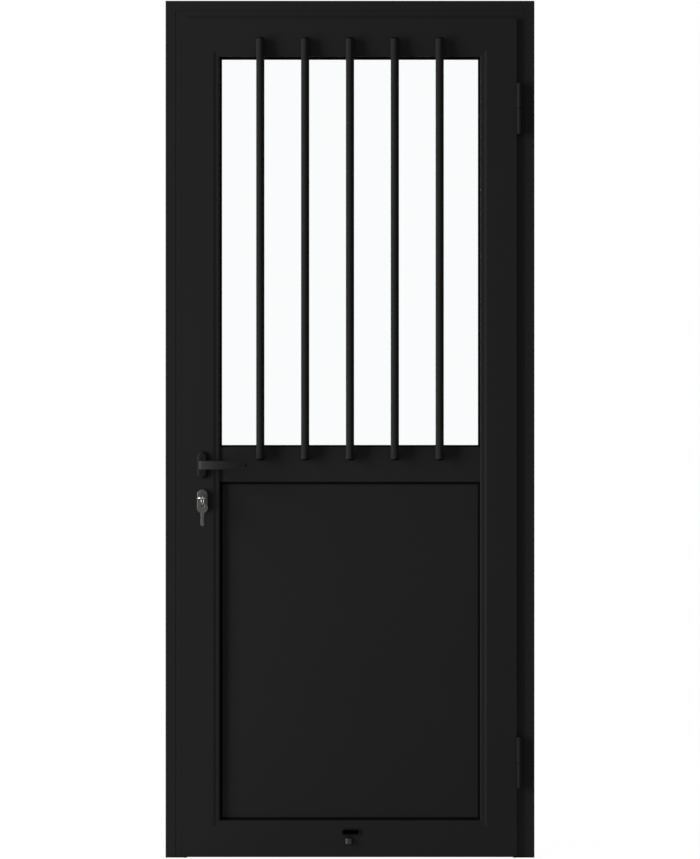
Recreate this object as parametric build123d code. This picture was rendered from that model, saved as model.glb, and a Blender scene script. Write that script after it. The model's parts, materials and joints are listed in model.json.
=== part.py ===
from build123d import *
import os

# Frame: two jambs and a head, no threshold
frame_width = 900.0
frame_height = 2090.0
frame_face = 52.0
frame_wall = 1.8
frame_edge_radius = 2.0
groove_from_edge = 25.0
groove_width = 1.4
groove_depth = 1.0
fixing_radius = 5.0
fixing_height_shares = (0.1, 0.35, 0.65, 0.9)

# Leaf profile: lip over the frame, flat face, bevel down to the glazing flange
leaf_depth = 48.0
leaf_reveal = 44.0
lip_width = 12.0
lip_thickness = 5.0
seal_gap = 3.0
floor_gap = 3.0
stile_face = 73.0
top_rail_face = 78.0
bevel_run = 15.5
bevel_drop = 6.0
flange_thickness = 5.0
flange_reach = 16.5
leaf_wall = 2.0

# Transom between the pane and the panel
transom_above_handle = 1.0
transom_face = 85.0
transom_cleat_length = 40.0

# Corner cleats pressed into the hollow profiles
cleat_arm = 110.0
cleat_width = 40.0
cleat_play = 0.2

# Pane, panel, gaskets and beads
glass_thickness = 6.0
panel_thickness = 16.0
gasket_thickness = 3.0
glass_gasket_show = 3.5
panel_gasket_show = 6.0
gasket_cover = 8.0
pane_edge_play = 5.0
bead_chamfer = 4.0

# Frame seal and the brush under the leaf
seal_width = 6.0
seal_from_edge = 1.0
seal_clearance = 0.3
seal_shoulder = 1.2
brush_thickness = 8.0
brush_holder_height = 7.0
brush_holder_wall = 1.5
brush_floor_gap = 1.0
brush_behind_middle = 6.0
brush_end_gap = 6.0

# Guard bars in front of the pane
bar_count = 5
bar_side_gap = 99.5
bar_radius = 10.0
bar_wall = 2.0
bar_below_leaf_top = 51.0
bar_below_transom_top = 30.5
bar_flat = 0.4
bar_cap_thickness = 2.0
bar_cap_edge = 0.6
bar_spigot_length = 8.0
bar_spigot_play = 0.05
saddle_radius = 7.0
bar_screw_from_top = 13.0
bar_screw_from_bottom = 7.0
bar_screw_radius = 2.0
bar_screw_head_radius = 4.0
bar_screw_head_height = 2.5
bar_screw_bite = 4.0
screw_play = 0.1

# Lift-off hinges
hinge_radius = 7.0
hinge_forward = 3.0
hinge_from_top = 221.0
hinge_from_bottom = 230.0
knuckle_length = 62.0
hinge_end_round = 2.0
hinge_web = 8.0
hinge_neck_back = 0.5
pin_radius = 4.0
pin_bite = 44.0
pin_running_play = 0.05
pin_press_play = 0.02
collar_radius = 5.4
collar_thickness = 1.0
collar_play = 0.2

# Lock case, faceplate, strike and bolts
lock_backset = 35.0
handle_height = 958.0
lock_centres = 80.0
case_thickness = 16.0
case_depth = 50.0
case_above_handle = 40.0
case_below_plug = 40.0
faceplate_width = 22.0
faceplate_end = 14.0
faceplate_play = 0.1
faceplate_screw_radius = 2.5
faceplate_screw_length = 12.0
latch_height = 30.0
latch_thickness = 12.0
latch_throw = 10.0
latch_length = 20.0
latch_nose = 4.0
bolt_above_plug = 34.0
bolt_height = 26.0
bolt_thickness = 10.0
bolt_travel = 20.0
bolt_guide = 10.0
bolt_play = 0.3
strike_thickness = 1.5
strike_width = 24.0
strike_margin = 20.0
strike_play = 2.0
follower_radius = 9.0
follower_play = 0.05
spindle_side = 8.0
spindle_play = 0.1

# Lever handles on oval roses, the same on both sides
rose_width = 27.0
rose_height = 66.0
rose_thickness = 8.0
rose_round = 4.0
lever_reach = 58.0
lever_length = 110.0
lever_height = 20.0
lever_neck = 14.0
lever_thickness = 13.0
lever_bow_radius = 200.0
lever_crest = 60.0
lever_corner_radius = 9.0
lever_tip_radius = 5.0
lever_full_length = 48.0
lever_tip_height = 8.0
lever_rose_play = 0.3
lever_face_gap = 1.0
spindle_bite = 22.0

# Profile cylinder, escutcheons and keys
escutcheon_width = 27.0
escutcheon_height = 56.0
escutcheon_drop = 7.0
escutcheon_round = 3.0
cylinder_radius = 8.5
cylinder_tail_width = 10.0
cylinder_tail_drop = 24.5
cylinder_proud = 1.0
cylinder_play = 0.3
plug_radius = 6.5
plug_play = 0.05
plug_length = 30.0
keyway_width = 2.6
keyway_height = 9.0
key_thickness = 2.2
key_blade_height = 8.0
key_blade_length = 29.0
key_tip_drop = 3.0
key_bit_count = 4
key_bit_pitch = 4.6
key_bit_depth = 1.7
key_first_bit = 5.0
key_shoulder = 3.0
key_bow_radius = 12.0
key_hole_radius = 4.5
key_hole_from_centre = 6.0
spare_bow_radius = 13.0
spare_hole_from_centre = 6.5
ring_radius = 8.5
ring_wire_radius = 1.2
ring_seat_gap = 0.3
ring_play = 0.8
ring_twist_deg = 115.0

# Floor bolt in the bottom rail: oval rose with a slot, and a turn below it
floor_rose_width = 47.0
floor_rose_height = 18.0
floor_rose_thickness = 2.5
floor_rose_x = 2.0
floor_rose_rise = 61.0
floor_slot_width = 40.0
floor_slot_height = 12.0
turn_x = -3.5
turn_rise = 40.5
turn_radius = 8.0
turn_disc = 2.0
turn_grip_radius = 9.5
turn_grip_height = 15.0
turn_grip_round = 1.5
turn_spindle_radius = 3.0
turn_crank_radius = 8.0
turn_crank_thickness = 3.0
turn_play = 0.3
turn_running_play = 0.05
rod_radius = 5.0
rod_foot_rise = 2.0
rod_length = 55.0
rod_point = 2.0

# One overrun serves every cut
overrun = 1.0

# Planes and edges that the sizes above give
leaf_front = -leaf_depth / 2
leaf_back = leaf_depth / 2
frame_front = leaf_front + lip_thickness + seal_gap
frame_depth = leaf_back - frame_front
frame_middle = (frame_front + leaf_back) / 2
frame_side = frame_width / 2
frame_inner = frame_side - frame_face
leaf_edge = frame_side - leaf_reveal
leaf_top = frame_height - leaf_reveal
leaf_bottom = floor_gap
body_edge = leaf_edge - lip_width
flange_back = bevel_drop + flange_thickness
stile_width = stile_face + bevel_run
top_rail_width = top_rail_face + bevel_run
stile_rebate = stile_width - flange_reach
rebate_x = leaf_edge - stile_rebate
flange_x = leaf_edge - stile_width
transom_height = handle_height + transom_above_handle
transom_low = transom_height - transom_face / 2
transom_high = transom_height + transom_face / 2
transom_front = leaf_front + bevel_drop
infill_front = leaf_front + flange_back + gasket_thickness
handle_x = lock_backset - body_edge
plug_height = handle_height - lock_centres
case_front = leaf_wall - body_edge
case_top = handle_height + case_above_handle
case_bottom = plug_height - case_below_plug
bolt_height_mid = plug_height + bolt_above_plug
bolt_length = bolt_travel + bolt_guide
hinge_x = leaf_edge + hinge_radius
hinge_y = leaf_front - hinge_forward
hinge_splits = {"upper": leaf_top - hinge_from_top, "lower": leaf_bottom + hinge_from_bottom}
knuckle_gap = collar_thickness / 2 + collar_play
floor_rose_z = leaf_bottom + floor_rose_rise
turn_z = leaf_bottom + turn_rise
rod_foot = leaf_bottom + rod_foot_rise
rod_head = rod_foot + rod_length
bar_y = leaf_front - bar_radius + bar_flat
bar_top = leaf_top - bar_below_leaf_top
bar_bottom = transom_high - bar_below_transom_top
bar_pitch = 2 * (flange_x - bar_side_gap) / (bar_count - 1)
bar_places = [(i - (bar_count - 1) / 2) * bar_pitch for i in range(bar_count)]
bar_tube_top = bar_top - bar_cap_thickness
bar_tube_bottom = bar_bottom + bar_cap_thickness
bar_screw_top = bar_top - bar_screw_from_top
bar_screw_bottom = bar_bottom + bar_screw_from_bottom
bar_screw_tip = bar_y + bar_radius - bar_flat - bar_screw_bite
rose_front = leaf_front - rose_thickness
cylinder_face = rose_front - cylinder_proud


def block(x0, x1, y0, y1, z0, z1):
    """A straight block between two corners."""
    middle = Pos((x0 + x1) / 2, (y0 + y1) / 2, (z0 + z1) / 2)
    return middle * Box(x1 - x0, y1 - y0, z1 - z0)


def rod_along_y(x, z, radius, y0, y1):
    """A round bar lying along the depth of the door."""
    return Pos(x, (y0 + y1) / 2, z) * Rot(90, 0, 0) * Cylinder(radius, y1 - y0)


def rod_along_x(y, z, radius, x0, x1):
    """A round bar lying along the width of the door."""
    return Pos((x0 + x1) / 2, y, z) * Rot(0, 90, 0) * Cylinder(radius, x1 - x0)


def rod_along_z(x, y, radius, z0, z1):
    """A round bar standing upright."""
    return Pos(x, y, (z0 + z1) / 2) * Cylinder(radius, z1 - z0)


def outline(points):
    """A flat face inside a closed run of straight lines."""
    return make_face(Polyline(*points, close=True))


def plate(sketch, y0, y1):
    """A sketch drawn on the door's face, thickened from depth y0 to y1."""
    back = Plane((0, y1, 0), x_dir=(1, 0, 0), z_dir=(0, -1, 0))
    return extrude(back * sketch, amount=y1 - y0)


def upright_slot(x, z, width, height):
    """An upright oval with straight sides and round ends."""
    return Pos(x, z) * Rot(0, 0, 90) * SlotOverall(height, width)


def member(section, width, length, start, end):
    """A profile run along a length, with its inner edge cut back at each mitred end."""
    far = width + overrun
    start_slope = start / width
    end_slope = end / width
    keep = outline(
        [
            (-overrun, -overrun * start_slope if start else 0),
            (far, far * start_slope),
            (far, length - far * end_slope),
            (-overrun, length + overrun * end_slope if end else length),
        ]
    )
    reach = section.bounding_box()
    mitres = plate(keep, reach.min.Y - overrun, reach.max.Y + overrun)
    return extrude(section, amount=length) & mitres


def mitred_ring(x0, x1, y, z0, z1, section, width, top_section, top_width):
    """Four profiles mitred at their corners round an upright rectangle."""
    height = z1 - z0
    across = x1 - x0
    side = member(section, width, height, width, top_width)
    far_side = member(section, width, height, top_width, width)
    top = member(top_section, top_width, across, width, width)
    bottom = member(section, width, across, width, width)
    return {
        "lock": Pos(x0, y, z0) * side,
        "hinge": Pos(x1, y, z1) * Rot(0, 180, 0) * far_side,
        "top": Pos(x0, y, z1) * Rot(0, 90, 0) * top,
        "bottom": Pos(x1, y, z0) * Rot(0, -90, 0) * bottom,
    }


def gasket_ring(z0, z1, y0, y1, show):
    """One moulded gasket round the glazing flange, its inner edge showing past the flange."""
    outer = block(
        -flange_x - gasket_cover, flange_x + gasket_cover, y0, y1, z0 - gasket_cover, z1 + gasket_cover
    )
    inner = block(
        show - flange_x,
        flange_x - show,
        y0 - overrun,
        y1 + overrun,
        z0 + show,
        z1 - show,
    )
    return outer - inner


def corner_cleat(x, z, toward_x, toward_z, y0, y1):
    """An angle block that joins two hollow profiles at a corner."""
    steps = [
        (0, 0),
        (cleat_arm, 0),
        (cleat_arm, cleat_width),
        (cleat_width, cleat_width),
        (cleat_width, cleat_arm),
        (0, cleat_arm),
    ]
    points = [(x + toward_x * a, z + toward_z * b) for a, b in steps]
    return plate(outline(points), y0, y1)


def frame_section():
    """Hollow frame profile: rounded outer edge and a fine groove along its face."""
    half = groove_width / 2
    face = outline(
        [
            (0, 0),
            (groove_from_edge - half, 0),
            (groove_from_edge - half, groove_depth),
            (groove_from_edge + half, groove_depth),
            (groove_from_edge + half, 0),
            (frame_face, 0),
            (frame_face, frame_depth),
            (0, frame_depth),
        ]
    )
    front_corner = face.vertices().sort_by_distance((0, 0))[0]
    face = fillet(front_corner, frame_edge_radius)
    chamber = Pos(frame_face / 2, frame_depth / 2) * Rectangle(
        frame_face - 2 * frame_wall, frame_depth - 2 * frame_wall
    )
    return face - chamber


def leaf_section(face_width):
    """Hollow leaf profile: lip, flat face, bevel, glazing flange and rebate."""
    width = face_width + bevel_run
    rebate = width - flange_reach
    face = outline(
        [
            (0, 0),
            (face_width, 0),
            (width, bevel_drop),
            (width, flange_back),
            (rebate, flange_back),
            (rebate, leaf_depth),
            (lip_width, leaf_depth),
            (lip_width, lip_thickness),
            (0, lip_thickness),
        ]
    )
    chamber_width = rebate - lip_width - 2 * leaf_wall
    chamber = Pos((lip_width + rebate) / 2, leaf_depth / 2) * Rectangle(
        chamber_width, leaf_depth - 2 * leaf_wall
    )
    return face - chamber


def bead_section(depth):
    """Glazing bead: a square strip with its room-side corner bevelled."""
    return outline(
        [
            (0, 0),
            (flange_reach, 0),
            (flange_reach, depth - bead_chamfer),
            (flange_reach - bead_chamfer, depth),
            (0, depth),
        ]
    )


def seal_section():
    """Soft strip on the frame, shouldered toward the leaf lip."""
    height = seal_gap - seal_clearance
    return outline(
        [
            (0, 0),
            (seal_shoulder, -height),
            (seal_width - seal_shoulder, -height),
            (seal_width, 0),
        ]
    )


def cylinder_profile(play):
    """Profile of the lock cylinder: a round head on a narrow tail."""
    head = Pos(handle_x, plug_height) * Circle(cylinder_radius + play)
    tail_radius = cylinder_tail_width / 2 + play
    tail_end = plug_height - cylinder_tail_drop + cylinder_tail_width / 2
    tail = Pos(handle_x, (plug_height + tail_end) / 2) * Rectangle(2 * tail_radius, plug_height - tail_end)
    foot = Pos(handle_x, tail_end) * Circle(tail_radius)
    return head + tail + foot


def frame_members():
    """Two jambs and a head, with fixing holes and the lock's keeps cut through."""
    section = frame_section()
    jamb = member(section, frame_face, frame_height, 0, frame_face)
    far_jamb = member(section, frame_face, frame_height, frame_face, 0)
    head = member(section, frame_face, frame_width, frame_face, frame_face)
    lock_jamb = Pos(-frame_side, frame_front, 0) * jamb
    hinge_jamb = Pos(frame_side, frame_front, frame_height) * Rot(0, 180, 0) * far_jamb
    for share in fixing_height_shares:
        height = share * frame_height
        near = frame_inner - overrun
        far = frame_side + overrun
        lock_jamb -= rod_along_x(frame_middle, height, fixing_radius, -far, -near)
        hinge_jamb -= rod_along_x(frame_middle, height, fixing_radius, near, far)
    for keep in keep_cuts(-frame_inner - frame_wall - overrun, overrun - frame_inner):
        lock_jamb -= keep
    return {
        "frame_jamb_lock": lock_jamb,
        "frame_jamb_hinge": hinge_jamb,
        "frame_head": Pos(-frame_side, frame_front, frame_height) * Rot(0, 90, 0) * head,
    }


def keep_cuts(x0, x1):
    """The two pockets that the latch and the bolt enter."""
    latch_half = latch_height / 2 + strike_play
    latch_deep = latch_thickness / 2 + strike_play
    bolt_half = bolt_height / 2 + strike_play
    bolt_deep = bolt_thickness / 2 + strike_play
    return [
        block(x0, x1, -latch_deep, latch_deep, handle_height - latch_half, handle_height + latch_half),
        block(x0, x1, -bolt_deep, bolt_deep, bolt_height_mid - bolt_half, bolt_height_mid + bolt_half),
    ]


def frame_fittings():
    """Corner cleats, seals and the strike plate."""
    inset = frame_wall + cleat_play
    y0 = frame_front + inset
    y1 = leaf_back - inset
    top = frame_height - inset
    side = frame_side - inset
    cleats = [corner_cleat(-side, top, 1, -1, y0, y1), corner_cleat(side, top, -1, -1, y0, y1)]
    start = frame_face - seal_from_edge - seal_width
    reach = frame_height - start
    strip = seal_section()
    lock_strip = member(strip, seal_width, reach, 0, seal_width)
    hinge_strip = member(strip, seal_width, reach, seal_width, 0)
    head_strip = member(strip, seal_width, frame_width - 2 * start, seal_width, seal_width)
    seals = [
        Pos(start - frame_side, frame_front, 0) * lock_strip,
        Pos(frame_side - start, frame_front, reach) * Rot(0, 180, 0) * hinge_strip,
        Pos(start - frame_side, frame_front, reach) * Rot(0, 90, 0) * head_strip,
    ]
    low = bolt_height_mid - bolt_height / 2 - strike_margin
    high = handle_height + latch_height / 2 + strike_margin
    half = strike_width / 2
    strike = block(-frame_inner, strike_thickness - frame_inner, -half, half, low, high)
    for keep in keep_cuts(-frame_inner - overrun, strike_thickness - frame_inner + overrun):
        strike -= keep
    return {
        "frame_corner_cleats": Compound(children=cleats),
        "frame_seals": Compound(children=seals),
        "strike_plate": strike,
    }


def hinges():
    """Two lift-off hinges: leaf half above, frame half below, pin with a collar between."""
    nodes = {}
    pins = []
    for place, split in hinge_splits.items():
        foot = split - knuckle_gap
        low = foot - knuckle_length
        seat = split + knuckle_gap
        high = seat + knuckle_length
        upper = rod_along_z(hinge_x, hinge_y, hinge_radius, seat, high)
        upper = chamfer(upper.edges().group_by(Axis.Z)[-1], hinge_end_round)
        neck_back = leaf_front + lip_thickness - hinge_neck_back
        upper += block(leaf_edge, hinge_x, leaf_front, neck_back, seat, high - hinge_end_round)
        bore_top = split + pin_bite + collar_play
        upper -= rod_along_z(hinge_x, hinge_y, pin_radius + pin_running_play, seat - overrun, bore_top)
        lower = rod_along_z(hinge_x, hinge_y, hinge_radius, low, foot)
        lower = chamfer(lower.edges().group_by(Axis.Z)[0], hinge_end_round)
        half = hinge_web / 2
        lower += block(hinge_x - half, hinge_x + half, hinge_y, frame_front, low + hinge_end_round, foot)
        pin_foot = low + hinge_end_round
        lower -= rod_along_z(hinge_x, hinge_y, pin_radius + pin_press_play, pin_foot, foot + overrun)
        pin = rod_along_z(hinge_x, hinge_y, pin_radius, pin_foot, split + pin_bite)
        collar_half = collar_thickness / 2
        pin += rod_along_z(hinge_x, hinge_y, collar_radius, split - collar_half, split + collar_half)
        nodes[f"hinge_leaf_half_{place}"] = upper
        nodes[f"hinge_frame_half_{place}"] = lower
        pins.append(pin)
    nodes["hinge_pins"] = Compound(children=pins)
    return nodes


def leaf_members():
    """Stiles and rails mitred into one leaf, and the transom butted between the stiles."""
    ring = mitred_ring(
        -leaf_edge,
        leaf_edge,
        leaf_front,
        leaf_bottom,
        leaf_top,
        leaf_section(stile_face),
        stile_width,
        leaf_section(top_rail_face),
        top_rail_width,
    )
    low = transom_low + flange_reach
    high = transom_high - flange_reach
    flange_y = leaf_front + flange_back
    face = block(-flange_x, flange_x, transom_front, flange_y, transom_low, transom_high)
    trunk = block(-rebate_x, rebate_x, flange_y, leaf_back, low, high)
    chamber = block(
        -rebate_x - overrun,
        rebate_x + overrun,
        flange_y + leaf_wall,
        leaf_back - leaf_wall,
        low + leaf_wall,
        high - leaf_wall,
    )
    transom = face + trunk - chamber
    top_rail = ring["top"]
    hole = bar_screw_radius + screw_play
    rail_back = leaf_front + leaf_wall + overrun
    transom_back = flange_y + leaf_wall + overrun
    for x in bar_places:
        top_rail -= rod_along_y(x, bar_screw_top, hole, leaf_front - overrun, rail_back)
        transom -= rod_along_y(x, bar_screw_bottom, hole, transom_front - overrun, transom_back)
    floor_edge = leaf_bottom + lip_width
    bottom_rail = ring["bottom"]
    turn_hole = turn_spindle_radius + turn_running_play
    bottom_rail -= rod_along_y(turn_x, turn_z, turn_hole, leaf_front - overrun, rail_back)
    bottom_rail -= plate(floor_slot(), leaf_front - overrun, rail_back)
    bottom_rail -= rod_along_z(
        turn_x, rod_y(), rod_radius + turn_play, floor_edge - overrun, floor_edge + leaf_wall + overrun
    )
    return {
        "leaf_stile_lock": lock_stile(ring["lock"]),
        "leaf_stile_hinge": ring["hinge"],
        "leaf_top_rail": top_rail,
        "leaf_bottom_rail": bottom_rail,
        "leaf_transom": transom,
    }


def rod_y():
    """Depth of the floor bolt's rod, just behind the turn's crank."""
    return leaf_front + leaf_wall + 2 * turn_play + turn_crank_thickness + rod_radius


def lock_stile(stile):
    """The lock stile with its slot for the faceplate and its holes for spindle and cylinder."""
    half = faceplate_width / 2 + faceplate_play
    low = case_bottom - faceplate_end - faceplate_play
    high = case_top + faceplate_end + faceplate_play
    stile -= block(-body_edge - overrun, case_front + overrun, -half, half, low, high)
    y0 = leaf_front - overrun
    y1 = leaf_back + overrun
    stile -= rod_along_y(handle_x, handle_height, follower_radius + lever_rose_play, y0, y1)
    return stile - plate(cylinder_profile(cylinder_play), y0, y1)


def leaf_cleats():
    """Angle blocks in the four leaf corners and plugs in the transom's ends."""
    inset = lip_width + leaf_wall + cleat_play
    y0 = leaf_front + leaf_wall + cleat_play
    y1 = leaf_back - leaf_wall - cleat_play
    side = leaf_edge - inset
    low = leaf_bottom + inset
    high = leaf_top - inset
    corners = [
        corner_cleat(-side, low, 1, 1, y0, y1),
        corner_cleat(side, low, -1, 1, y0, y1),
        corner_cleat(-side, high, 1, -1, y0, y1),
        corner_cleat(side, high, -1, -1, y0, y1),
    ]
    plug_inset = flange_reach + leaf_wall + cleat_play
    z0 = transom_low + plug_inset
    z1 = transom_high - plug_inset
    front = leaf_front + flange_back + leaf_wall + cleat_play
    inner = rebate_x - transom_cleat_length
    plugs = [block(-rebate_x, -inner, front, y1, z0, z1), block(inner, rebate_x, front, y1, z0, z1)]
    return {"leaf_corner_cleats": Compound(children=corners), "transom_cleats": Compound(children=plugs)}


def glazing(name, z0, z1, infill_name, thickness, gasket_show):
    """A pane or panel held between an outer gasket, an inner gasket and four mitred beads."""
    rebate_low = z0 - flange_reach
    rebate_high = z1 + flange_reach
    play = pane_edge_play
    back = infill_front + thickness
    bead_front = back + gasket_thickness
    gasket_front = infill_front - gasket_thickness
    infill = block(
        play - rebate_x, rebate_x - play, infill_front, back, rebate_low + play, rebate_high - play
    )
    section = bead_section(leaf_back - bead_front)
    beads = mitred_ring(
        -rebate_x,
        rebate_x,
        bead_front,
        rebate_low,
        rebate_high,
        section,
        flange_reach,
        section,
        flange_reach,
    )
    return {
        infill_name: infill,
        f"{name}_gasket_outer": gasket_ring(z0, z1, gasket_front, infill_front, gasket_show),
        f"{name}_gasket_inner": gasket_ring(z0, z1, back, bead_front, gasket_show),
        f"{name}_beads": Compound(children=list(beads.values())),
    }


def guard_bars():
    """Round tubes with end caps, flat-seated on the top rail and on saddles at the transom."""
    nodes = {}
    caps = []
    saddles = []
    screws = []
    inner_radius = bar_radius - bar_wall
    seat_low = leaf_top - top_rail_face - bar_flat * bevel_run / bevel_drop
    for number, x in enumerate(bar_places, 1):
        tube = rod_along_z(x, bar_y, bar_radius, bar_tube_bottom, bar_tube_top)
        tube -= rod_along_z(x, bar_y, inner_radius, bar_tube_bottom - overrun, bar_tube_top + overrun)
        milled = block(
            x - bar_radius, x + bar_radius, leaf_front, leaf_front + bar_radius, seat_low, bar_top + overrun
        )
        tube -= milled
        saddle = rod_along_y(x, bar_screw_bottom, saddle_radius, bar_y, transom_front)
        saddle -= rod_along_z(x, bar_y, bar_radius, bar_bottom, bar_top)
        rail_inside = leaf_front + leaf_wall
        seats = ((bar_screw_top, rail_inside), (bar_screw_bottom, rail_inside + flange_back))
        hole = bar_screw_radius + screw_play
        holes = [rod_along_y(x, z, hole, bar_screw_tip - overrun, head) for z, head in seats]
        tube -= holes
        saddle -= holes
        for z, head in seats:
            shank = rod_along_y(x, z, bar_screw_radius, bar_screw_tip, head)
            head_end = head + bar_screw_head_height
            screws.append(shank + rod_along_y(x, z, bar_screw_head_radius, head, head_end))
        spigot = inner_radius - bar_spigot_play
        for end, inward in ((bar_top, -1), (bar_bottom, 1)):
            lip = end + inward * bar_cap_thickness
            deep = lip + inward * bar_spigot_length
            disc = rod_along_z(x, bar_y, bar_radius, min(end, lip), max(end, lip))
            rim = disc.edges().group_by(Axis.Z)[-1 if inward < 0 else 0]
            disc = chamfer(rim, bar_cap_edge)
            disc -= milled
            disc += rod_along_z(x, bar_y, spigot, min(lip, deep), max(lip, deep))
            caps.append(disc - holes)
        saddles.append(saddle)
        nodes[f"guard_bar_{number}"] = tube
    nodes["bar_end_caps"] = Compound(children=caps)
    nodes["bar_saddles"] = Compound(children=saddles)
    nodes["bar_screws"] = Compound(children=screws)
    return nodes


def brush_strip():
    """Brush in its holder along the underside of the leaf."""
    top = leaf_bottom + lip_width
    y0 = brush_behind_middle
    y1 = y0 + brush_thickness
    reach = body_edge - brush_end_gap
    holder = block(-reach, reach, y0, y1, top - brush_holder_height, top)
    bristle_play = 2 * brush_holder_wall
    return holder + block(-reach, reach, y0 + bristle_play, y1 - bristle_play, brush_floor_gap, top)


def lock_set():
    """Lock case, faceplate, screws, latch, bolt and the follower that the spindle turns."""
    half = case_thickness / 2
    case = block(case_front, case_front + case_depth, -half, half, case_bottom, case_top)
    past = half + overrun
    case -= rod_along_y(handle_x, handle_height, follower_radius + follower_play, -past, past)
    case -= plate(cylinder_profile(cylinder_play), -past, past)
    latch_half = latch_height / 2 + bolt_play
    latch_deep = latch_thickness / 2 + bolt_play
    latch_back = latch_length + bolt_play - body_edge
    latch_room = (case_front - overrun, latch_back, -latch_deep, latch_deep)
    bolt_half = bolt_height / 2 + bolt_play
    bolt_deep = bolt_thickness / 2 + bolt_play
    bolt_room = (case_front - overrun, bolt_length + bolt_play - body_edge, -bolt_deep, bolt_deep)
    case -= block(*latch_room, handle_height - latch_half, handle_height + latch_half)
    case -= block(*bolt_room, bolt_height_mid - bolt_half, bolt_height_mid + bolt_half)
    low = case_bottom - faceplate_end
    high = case_top + faceplate_end
    wide = faceplate_width / 2
    faceplate = block(-body_edge, case_front, -wide, wide, low, high)
    front_cut = (-body_edge - overrun, case_front + overrun)
    faceplate -= block(
        *front_cut, -latch_deep, latch_deep, handle_height - latch_half, handle_height + latch_half
    )
    faceplate -= block(
        *front_cut, -bolt_deep, bolt_deep, bolt_height_mid - bolt_half, bolt_height_mid + bolt_half
    )
    screws = []
    for z in (case_bottom + faceplate_end, case_top - faceplate_end / 2):
        end = faceplate_screw_length - body_edge
        hole = rod_along_x(0, z, faceplate_screw_radius + screw_play, -body_edge - overrun, end)
        case -= hole
        faceplate -= hole
        screws.append(rod_along_x(0, z, faceplate_screw_radius, -body_edge, end))
    follower = rod_along_y(handle_x, handle_height, follower_radius, -half, half)
    follower -= spindle_bar(spindle_play)
    return {
        "lock_case": case,
        "lock_faceplate": faceplate,
        "lock_screws": Compound(children=screws),
        "lock_follower": follower,
        "latch_bolt": latch(),
        "dead_bolt": dead_bolt(),
    }


def latch():
    """Sprung latch with its nose bevelled on the closing side."""
    half = latch_thickness / 2
    tip = -body_edge - latch_throw
    back = latch_length - latch_throw - body_edge
    face = outline([(tip, -half), (tip, latch_nose - half), (-body_edge, half), (back, half), (back, -half)])
    return Pos(0, 0, handle_height - latch_height / 2) * extrude(face, amount=latch_height)


def dead_bolt():
    """Square bolt, drawn back flush with the faceplate."""
    half = bolt_thickness / 2
    low = bolt_height_mid - bolt_height / 2
    return block(-body_edge, bolt_length - body_edge, -half, half, low, low + bolt_height)


def spindle_bar(play):
    """Square spindle that carries both levers."""
    half = spindle_side / 2 + play
    reach = leaf_depth / 2 + spindle_bite + play
    return block(
        handle_x - half, handle_x + half, -reach, reach, handle_height - half, handle_height + half
    )


def lever():
    """Outside lever: a round neck and a flat grip, bowed in plan, that tapers to its tip."""
    out = leaf_front - lever_reach
    left = handle_x - lever_neck / 2
    tip = handle_x + lever_length
    back_radius = lever_bow_radius - lever_thickness
    bow = Circle(lever_bow_radius) - Circle(back_radius)
    reach = Pos((left + tip) / 2, out + lever_reach / 2) * Rectangle(tip - left, lever_reach)
    plan = reach & (Pos(handle_x + lever_crest, out + lever_bow_radius) * bow)
    plan = fillet(plan.vertices().sort_by_distance((left, out))[:1], lever_corner_radius)
    plan = fillet(plan.vertices().sort_by_distance((tip, out))[:1], lever_tip_radius)
    half = lever_height / 2
    tip_half = lever_tip_height / 2
    full = handle_x + lever_full_length
    front = outline(
        [
            (left, handle_height - half),
            (full, handle_height - half),
            (tip, handle_height - tip_half),
            (tip, handle_height + tip_half),
            (full, handle_height + half),
            (left, handle_height + half),
        ]
    )
    grip = Pos(0, 0, handle_height - half) * extrude(plan, amount=lever_height)
    grip &= plate(front, out - overrun, leaf_front)
    neck_from_crest = lever_crest - lever_neck / 2
    neck_start = out + lever_bow_radius - (back_radius**2 - neck_from_crest**2) ** 0.5
    grip += rod_along_y(handle_x, handle_height, lever_neck / 2, neck_start, leaf_front - lever_face_gap)
    return grip - spindle_bar(spindle_play)


def handles():
    """Levers, roses and spindle, the inside set a mirror image of the outside one."""
    outside = lever()
    rose = plate(upright_slot(handle_x, handle_height, rose_width, rose_height), rose_front, leaf_front)
    rose = chamfer(rose.edges().group_by(Axis.Y)[0], rose_round)
    neck_hole = lever_neck / 2 + lever_rose_play
    rose -= rod_along_y(handle_x, handle_height, neck_hole, rose_front - overrun, leaf_front + overrun)
    return {
        "lever_outside": outside,
        "lever_inside": mirror(outside, about=Plane.XZ),
        "lever_spindle": spindle_bar(0),
        "rose_outside": rose,
        "rose_inside": mirror(rose, about=Plane.XZ),
    }


def cylinder_set():
    """Profile cylinder with its plug, and an oval escutcheon on each side."""
    body = plate(cylinder_profile(0), cylinder_face, -cylinder_face)
    plug_end = cylinder_face + plug_length
    bore = plug_radius + plug_play
    body -= rod_along_y(handle_x, plug_height, bore, cylinder_face - overrun, plug_end + plug_play)
    plug = rod_along_y(handle_x, plug_height, plug_radius, cylinder_face, plug_end)
    plug -= block(
        handle_x - keyway_height / 2,
        handle_x + keyway_height / 2,
        cylinder_face - overrun,
        plug_end + overrun,
        plug_height - keyway_width / 2,
        plug_height + keyway_width / 2,
    )
    middle = plug_height - escutcheon_drop
    oval = upright_slot(handle_x, middle, escutcheon_width, escutcheon_height)
    cover = plate(oval, rose_front, leaf_front)
    cover = chamfer(cover.edges().group_by(Axis.Y)[0], escutcheon_round)
    cover -= plate(cylinder_profile(cylinder_play), rose_front - overrun, leaf_front + overrun)
    return {
        "lock_cylinder": body,
        "cylinder_plug": plug,
        "escutcheon_outside": cover,
        "escutcheon_inside": mirror(cover, about=Plane.XZ),
    }


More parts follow.
